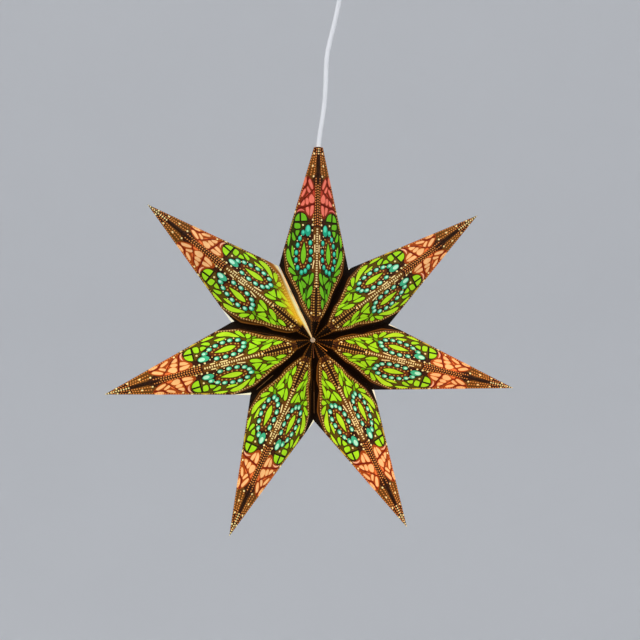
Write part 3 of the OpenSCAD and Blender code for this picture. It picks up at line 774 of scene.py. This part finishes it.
def cad_back(name, sheet_points, inverse):
    """What the CAD arm holds behind its printed skin: inner skin, glued strips and rims, in arm space."""
    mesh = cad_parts[name].data
    mesh.calc_loop_triangles()
    points = np.array([inverse @ v.co for v in mesh.vertices]) / MM
    triangles = np.array([tuple(t.vertices) for t in mesh.loop_triangles])
    same_place = 0.05
    skin = {k for k, p in enumerate(points) if np.min(np.linalg.norm(sheet_points - p, axis=1)) < same_place}
    kept = [t for t in triangles if not all(k in skin for k in t)]
    return points, np.array(kept)


def arm_matrix(i):
    """Takes an arm's own space, (u, v, depth) in metres, to the hanging star."""
    a = arm_angle(i)
    columns = [(math.cos(a), 0, math.sin(a)), (-math.sin(a), 0, math.cos(a)), (0, -1, 0)]
    turn = Matrix(columns).transposed().to_4x4()
    return Matrix.Translation(STAR_CENTRE * MM) @ turn


def skin_corners(i):
    """Corner points of the arm's outer skin, in arm space, to tell it from what lies behind it."""
    corners = []
    mouth = i == TOP_ARM
    for side in (1, -1):
        edge, foot = flank_lines(i, side, GLUE_T / 2)
        corners += [*(edge * (1, side, 1)), *(foot * (1, side, 1))]
        if mouth:
            corners.append((MOUTH_U, side * PETAL_FALL * POINT_CUT / petal_tilt(half_angle(i)), 0))
    corners.append((CROWN_RADIUS, 0, CROWN_DEPTH))
    corners.append((NECK_END[0], 0, NECK_END[2] + NECK_RISE))
    corners.append((MOUTH_U, 0, PETAL_FALL * POINT_CUT) if mouth else (ARM_REACH, 0, 0))
    return np.concatenate([corners, np.array(corners) * (1, 1, -1)])


def placed(name, data):
    """A new object of some data, in the scene."""
    thing = bpy.data.objects.new(name, data)
    bpy.context.scene.collection.objects.link(thing)
    return thing


def printed_arm(i, petal, print_material, back_material):
    """One arm as a folded sheet: the print outside, and the CAD sheet's back, strips and rims inside."""
    sheet = Sheet()
    for side in (1, -1):
        add_petal(sheet, i, side, petal)
        add_flank(sheet, i, side)
        add_neck(sheet, i, side)
    sheet.add_back()
    node = "arm_" + ARM_NAMES[i]
    matrix = arm_matrix(i)
    back_points, back_faces = cad_back(node, skin_corners(i), matrix.inverted())
    filling = (len(back_faces) * 3, 1)
    sheet.add(back_points, back_faces, np.tile((1.0, 1.0, 1.0), filling), np.tile(PLAIN_LIGHT, filling))
    points, faces, colours, lights = sheet.joined()
    colours = colours * ARM_TINTS[i]
    mesh = bpy.data.meshes.new("printed_" + node)
    mesh.from_pydata((points * MM).tolist(), [], faces.tolist())
    for material in (print_material, back_material):
        mesh.materials.append(material)
    printed = len(faces) - len(back_faces)
    mesh.polygons.foreach_set("material_index", [0] * printed + [1] * len(back_faces))
    for name, values in (("print_colour", colours), ("print_light", lights)):
        attribute = mesh.attributes.new(name, "FLOAT_VECTOR", "CORNER")
        attribute.data.foreach_set("vector", values.astype(np.float32).ravel())
    mesh.transform(matrix)
    mesh.update()
    piece = placed("printed_" + node, mesh)
    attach(piece, "root")
    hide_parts(node)


def new_material(name):
    """A fresh node material, with its tree and its Principled node."""
    material = bpy.data.materials.new(name)
    material.use_nodes = True
    tree = material.node_tree
    return material, tree, next(n for n in tree.nodes if n.type == "BSDF_PRINCIPLED")


def add_node(tree, kind, **properties):
    """A new shader node with its properties set by name."""
    node = tree.nodes.new("ShaderNode" + kind)
    for key, value in properties.items():
        setattr(node, key, value)
    return node


def noise(tree, scale, detail):
    coordinates = add_node(tree, "TexCoord")
    texture = add_node(tree, "TexNoise")
    texture.inputs["Scale"].default_value = scale
    texture.inputs["Detail"].default_value = detail
    tree.links.new(coordinates.outputs["Object"], texture.inputs["Vector"])
    return texture.outputs["Fac"]


def mapped(tree, value, low, high, to_low, to_high):
    """A value moved from one span to another, and kept inside it."""
    node = add_node(tree, "MapRange")
    for name, number in (("From Min", low), ("From Max", high), ("To Min", to_low), ("To Max", to_high)):
        node.inputs[name].default_value = number
    tree.links.new(value, node.inputs["Value"])
    return node.outputs["Result"]


def uneven(tree, scale, detail, low, high):
    """A value that wanders between two limits."""
    noise_low, noise_high = 0.3, 0.7
    return mapped(tree, noise(tree, scale, detail), noise_low, noise_high, low, high)


def maths(tree, operation, first, second):
    node = add_node(tree, "Math", operation=operation)
    for k, value in enumerate((first, second)):
        if isinstance(value, (int, float)):
            node.inputs[k].default_value = value
        else:
            tree.links.new(value, node.inputs[k])
    return node.outputs["Value"]


def mixed(tree, share, first, second, blend="MIX"):
    """Two colours mixed. Each may be a plain colour or a link."""
    node = add_node(tree, "Mix", data_type="RGBA", blend_type=blend)
    for name, value in (("Factor", share), ("A", first), ("B", second)):
        kind = "VALUE" if name == "Factor" else "RGBA"
        socket = next(s for s in node.inputs if s.name == name and s.type == kind)
        if isinstance(value, (int, float)):
            socket.default_value = value
        elif isinstance(value, tuple):
            socket.default_value = (*value, 1)
        else:
            tree.links.new(value, socket)
    return next(s for s in node.outputs if s.type == "RGBA")


def mottle(tree, shader, scale, detail, dark, light):
    """A base colour that wanders between a darker and a lighter one."""
    tree.links.new(mixed(tree, noise(tree, scale, detail), dark, light), shader.inputs["Base Color"])


def roughen(tree, shader, scale, detail, low, high):
    """A roughness that wanders between two limits."""
    tree.links.new(uneven(tree, scale, detail, low, high), shader.inputs["Roughness"])


def bump(tree, shader, scale, detail, strength):
    """A fine grain in the surface."""
    node = add_node(tree, "Bump")
    node.inputs["Distance"].default_value = GRAIN_DEPTH
    node.inputs["Strength"].default_value = strength
    tree.links.new(noise(tree, scale, detail), node.inputs["Height"])
    tree.links.new(node.outputs["Normal"], shader.inputs["Normal"])


# How bright the lit print is, what share of its colour the studio light adds, and the colour of the painted
# glow of light leaking past the raised flap
PRINT_GLOW = 0.62
PRINT_REFLECTS = 0.5
LEAK_GLOW_COLOUR = (1.0, 0.55, 0.02)
LEAK_GLOW_SHARE = 0.75

# The fine ornament on the ink: specks of gold on a dark ground
SPECK_SCALE = 520
SPECK_REACH = (0.28, 0.5)
SPECK_DARK = (0.03, 0.008, 0.001)
SPECK_GOLD = (0.60, 0.26, 0.06)
ORNAMENT_SHARE = 0.4

# How deep the grain of every surface is, in metres
GRAIN_DEPTH = 0.0002


def printed_paper():
    """Inked translucent paper, lit from inside. Each corner of the mesh carries its ink."""
    material, tree, shader = new_material("printed_paper")
    ink = add_node(tree, "Attribute", attribute_name="print_colour").outputs["Color"]
    light = add_node(tree, "Attribute", attribute_name="print_light").outputs["Vector"]
    parts = add_node(tree, "SeparateXYZ")
    tree.links.new(light, parts.inputs["Vector"])
    through, ornament, leak_glow = parts.outputs["X"], parts.outputs["Y"], parts.outputs["Z"]
    coordinates = add_node(tree, "TexCoord")
    beads = add_node(tree, "TexVoronoi", feature="F1")
    beads.inputs["Scale"].default_value = SPECK_SCALE
    tree.links.new(coordinates.outputs["Object"], beads.inputs["Vector"])
    speck = mapped(tree, beads.outputs["Distance"], *SPECK_REACH, 1.0, 0.0)
    gold = mixed(tree, speck, SPECK_DARK, SPECK_GOLD)
    inked = mixed(tree, maths(tree, "MULTIPLY", ornament, ORNAMENT_SHARE), ink, gold)
    toned = mixed(tree, 1.0, inked, uneven(tree, 70, 3, 0.88, 1.1), "MULTIPLY")
    # Mixes in the painted glow of the light leaking past the raised flap
    warm = mixed(tree, maths(tree, "MULTIPLY", leak_glow, LEAK_GLOW_SHARE), toned, LEAK_GLOW_COLOUR)
    base = mixed(tree, 1.0, warm, (PRINT_REFLECTS,) * 3, "MULTIPLY")
    tree.links.new(base, shader.inputs["Base Color"])
    tree.links.new(warm, shader.inputs["Emission Color"])
    tree.links.new(maths(tree, "MULTIPLY", through, PRINT_GLOW), shader.inputs["Emission Strength"])
    shader.inputs["Specular IOR Level"].default_value = 0.08
    roughen(tree, shader, 400, 2, 0.6, 0.75)
    bump(tree, shader, 1500, 4, 0.25)
    return material


def paper_back():
    """The unprinted inside of the paper, warm with the bulb's light."""
    material, tree, shader = new_material("paper_back")
    mottle(tree, shader, 300, 4, (0.60, 0.42, 0.20), (0.70, 0.50, 0.26))
    shader.inputs["Emission Color"].default_value = (1.0, 0.80, 0.45, 1)
    shader.inputs["Emission Strength"].default_value = 0.4
    shader.inputs["Roughness"].default_value = 0.8
    bump(tree, shader, 1200, 4, 0.3)
    return material


def moulded(name, dark, light, roughness, grain=900):
    """Moulded plastic: a colour that varies a little, with a fine grain."""
    material, tree, shader = new_material(name)
    mottle(tree, shader, 60, 3, dark, light)
    roughen(tree, shader, 240, 3, roughness - 0.06, roughness + 0.08)
    bump(tree, shader, grain, 3, 0.12)
    return material


def metal(name, dark, light, roughness):
    material, tree, shader = new_material(name)
    mottle(tree, shader, 500, 4, dark, light)
    shader.inputs["Metallic"].default_value = 1.0
    roughen(tree, shader, 900, 3, roughness - 0.08, roughness + 0.1)
    return material


def opal_glass():
    material, tree, shader = new_material("opal_glass")
    mottle(tree, shader, 40, 2, (0.26, 0.26, 0.28), (0.32, 0.32, 0.34))
    shader.inputs["Emission Color"].default_value = (1.0, 0.94, 0.9, 1)
    shader.inputs["Emission Strength"].default_value = 0.12
    shader.inputs["Roughness"].default_value = 0.25
    return material


def cord_line():
    """The cord's centreline, in metres."""
    inner = np.arange(CORD_START_U, MOUTH_U - CORD_STEP / 2, CORD_STEP)
    points = [STAR_CENTRE + float(u) * LAMP_AXIS for u in inner]
    points += [Vector((x, 0, z)) for x, z in CORD_ROUTE]
    return [p * MM for p in points]


def build_cord(material):
    """The white cord, from the lamp holder through the cut point up to the ceiling rose."""
    points = cord_line()
    curve = bpy.data.curves.new("hanging_cord", "CURVE")
    curve.dimensions = "3D"
    curve.bevel_depth = CORD_D / 2 * MM
    curve.bevel_resolution = 6
    curve.use_fill_caps = True
    spline = curve.splines.new("POLY")
    spline.points.add(len(points) - 1)
    for place, point in zip(spline.points, points):
        place.co = (*point, 1)
    curve.materials.append(material)
    piece = placed("hanging_cord", curve)
    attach(piece, "root")
    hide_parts("cord")


def build_camera():
    """The camera where the photograph was taken, turned so that the star's middle shows at its pixel."""
    azimuth, elevation, roll = (math.radians(x) for x in (CAMERA_AZIMUTH, CAMERA_ELEVATION, CAMERA_ROLL))
    back = Vector((math.sin(azimuth) * math.cos(elevation), -math.cos(azimuth) * math.cos(elevation),
                   math.sin(elevation)))
    right = (-back).cross(Vector((0, 0, 1))).normalized()
    up = right.cross(-back)
    right, up = (math.cos(roll) * right + math.sin(roll) * up, math.cos(roll) * up - math.sin(roll) * right)
    off_x = (STAR_PIXEL[0] - PICTURE_SIDE / 2) / FOCAL_PIXELS
    off_y = (PICTURE_SIDE / 2 - STAR_PIXEL[1]) / FOCAL_PIXELS
    forward = (-back - right * off_x - up * off_y).normalized()
    right = forward.cross(up).normalized()
    up = right.cross(forward)
    data = bpy.data.cameras.new("camera")
    data.lens = FOCAL_PIXELS / PICTURE_SIDE * data.sensor_width
    camera = placed("camera", data)
    turn = Matrix([right, up, -forward]).transposed().to_4x4()
    camera.matrix_world = Matrix.Translation(STAR_CENTRE * MM + back * CAMERA_DISTANCE) @ turn
    bpy.context.scene.camera = camera


def studio_material():
    """Pale paint. Seen from outside it is clear, so that the lantern can be looked at from below."""
    material, tree, shader = new_material("studio_floor")
    mottle(tree, shader, 2, 2, (0.70, 0.71, 0.73), (0.72, 0.73, 0.75))
    shader.inputs["Roughness"].default_value = 0.95
    shader.inputs["Specular IOR Level"].default_value = 0.1
    behind = add_node(tree, "NewGeometry").outputs["Backfacing"]
    seen = add_node(tree, "LightPath").outputs["Is Camera Ray"]
    either = add_node(tree, "MixShader")
    clear = add_node(tree, "BsdfTransparent")
    output = next(n for n in tree.nodes if n.type == "OUTPUT_MATERIAL")
    tree.links.new(maths(tree, "MULTIPLY", behind, seen), either.inputs[0])
    tree.links.new(shader.outputs["BSDF"], either.inputs[1])
    tree.links.new(clear.outputs["BSDF"], either.inputs[2])
    tree.links.new(either.outputs["Shader"], output.inputs["Surface"])
    return material


def build_studio():
    """A pale round floor that sweeps up all round, well away from the lantern."""
    floor_z, floor_r, sweep_r, wall_top = -2.4, 4.0, 2.0, 4.0
    bends, turns = 16, 96
    outline = [(floor_r, floor_z)]
    for k in range(1, bends + 1):
        a = math.pi / 2 * k / bends
        outline.append((floor_r + sweep_r * math.sin(a), floor_z + sweep_r * (1 - math.cos(a))))
    outline.append((floor_r + sweep_r, wall_top))
    angles = [2 * math.pi * k / turns for k in range(turns)]
    points = [(r * math.cos(a), r * math.sin(a), z) for r, z in outline for a in angles]
    points.append((0, 0, floor_z))
    rings = [[j * turns + k % turns for k in range(turns + 1)] for j in range(len(outline))]
    faces = [(high[k], high[k + 1], low[k + 1], low[k])
             for low, high in zip(rings, rings[1:]) for k in range(turns)]
    faces += [(len(points) - 1, k, (k + 1) % turns) for k in range(turns)]
    mesh = bpy.data.meshes.new("studio_floor")
    mesh.from_pydata(points, [], faces)
    mesh.shade_smooth()
    mesh.materials.append(studio_material())
    placed("studio_floor", mesh)


def add_light(name, place, power):
    """A large soft lamp that points at the star."""
    data = bpy.data.lights.new(name, "AREA")
    data.size = 2.4
    data.energy = power
    light = placed(name, data)
    light.location = place
    light.rotation_mode = "QUATERNION"
    light.rotation_quaternion = (STAR_CENTRE * MM - Vector(place)).to_track_quat("-Z", "Y")


def build_lights():
    """Plain soft light from all round, a little stronger from the upper left."""
    world = bpy.data.worlds.new("studio")
    bpy.context.scene.world = world
    world.use_nodes = True
    background = next(n for n in world.node_tree.nodes if n.type == "BACKGROUND")
    background.inputs["Color"].default_value = (0.95, 0.97, 1.0, 1)
    background.inputs["Strength"].default_value = 0.75
    add_light("key_light", (-2.2, -2.6, 1.6), 60)
    add_light("fill_light", (2.8, -1.4, 0.4), 25)
    add_light("back_light", (0.6, 3.0, 1.4), 35)


def dress_fittings():
    """Gives every CAD node that stays in view its own material."""
    white = moulded("white_plastic", (0.80, 0.80, 0.78), (0.88, 0.88, 0.86), 0.36)
    black = moulded("black_plastic", (0.03, 0.03, 0.032), (0.055, 0.055, 0.058), 0.45)
    steel = metal("zinc_steel", (0.55, 0.56, 0.58), (0.72, 0.73, 0.75), 0.34)
    brass = metal("brass", (0.70, 0.50, 0.20), (0.85, 0.66, 0.32), 0.3)
    hooks = moulded("hook_pad", (0.035, 0.022, 0.012), (0.07, 0.045, 0.025), 0.85, 1600)
    loops = moulded("loop_pad", (0.82, 0.68, 0.42), (0.92, 0.80, 0.56), 0.9, 1600)
    dress = {
        white: ["cord_stopper", "cap_clamp", "rose_cup", "rose_gland", "gland_nut", "terminal_block"],
        black: ["holder_core", "holder_skirt", "holder_cap"],
        steel: ["stopper_screw", "rose_bracket", "cup_screws"],
        brass: ["thread_sleeve", "centre_contact", "core_screws", "terminal_screws"],
        hooks: ["closure_hooks"],
        loops: ["closure_loops"],
        opal_glass(): ["bulb"],
    }
    for material, names in dress.items():
        for name in names:
            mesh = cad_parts[name].data
            mesh.materials.clear()
            mesh.materials.append(material)


build_camera()
build_cord(moulded("white_cord", (0.80, 0.81, 0.84), (0.90, 0.91, 0.93), 0.45, 500))
petal_print = even_petal()
paper = printed_paper()
back = paper_back()
for number in range(ARM_COUNT):
    printed_arm(number, petal_print, paper, back)
dress_fittings()
build_studio()
build_lights()
bpy.context.scene.view_settings.view_transform = "Standard"
